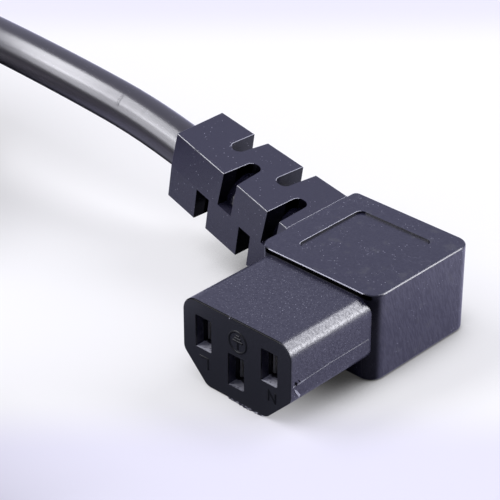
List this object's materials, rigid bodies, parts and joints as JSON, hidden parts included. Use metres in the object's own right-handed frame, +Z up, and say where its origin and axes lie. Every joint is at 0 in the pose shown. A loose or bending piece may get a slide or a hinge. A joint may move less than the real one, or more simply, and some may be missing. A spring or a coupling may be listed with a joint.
{
  "type": "C13 power connector",
  "caption": "Right-angled C13 connector on a mains cord: chamfered mating nose with contact slots, square housing, windowed strain relief, tied coil of cord and a C14 plug.",
  "frame": {"origin": "middle of the mating face, level with the line and neutral contacts", "axes": "+Y from the mating face into the connector, +Z up through the label side, the cord leaves towards -X"},
  "size_m": [0.1898, 0.1112, 0.0256],
  "materials": {
    "outer_pvc": "spark-eroded satin",
    "inner_plastic": "satin",
    "cord_pvc": "smooth, slightly glossy",
    "brass": "bright",
    "copper": "bright stranded",
    "nickel": "nickel-plated",
    "brown_core": "satin",
    "blue_core": "satin",
    "green_yellow_core": "satin",
    "tie": "woven strap"
  },
  "bodies": {
    "root": {"outer_moulding": "outer_pvc", "contact_carrier": "inner_plastic", "carrier_cap": "inner_plastic", "inner_sheath": "cord_pvc", "line_contact": "brass", "neutral_contact": "brass", "earth_contact": "brass", "line_conductor": "copper", "neutral_conductor": "copper", "earth_conductor": "copper", "line_insulation": "brown_core", "neutral_insulation": "blue_core", "earth_insulation": "green_yellow_core", "cord_coil": "cord_pvc", "coil_tie": "tie", "cord_lead": "cord_pvc", "cord_tail": "cord_pvc", "plug_moulding": "outer_pvc", "plug_insert": "inner_plastic", "plug_line_pin": "nickel", "plug_neutral_pin": "nickel", "plug_earth_pin": "nickel"}
  },
  "joints": []
}
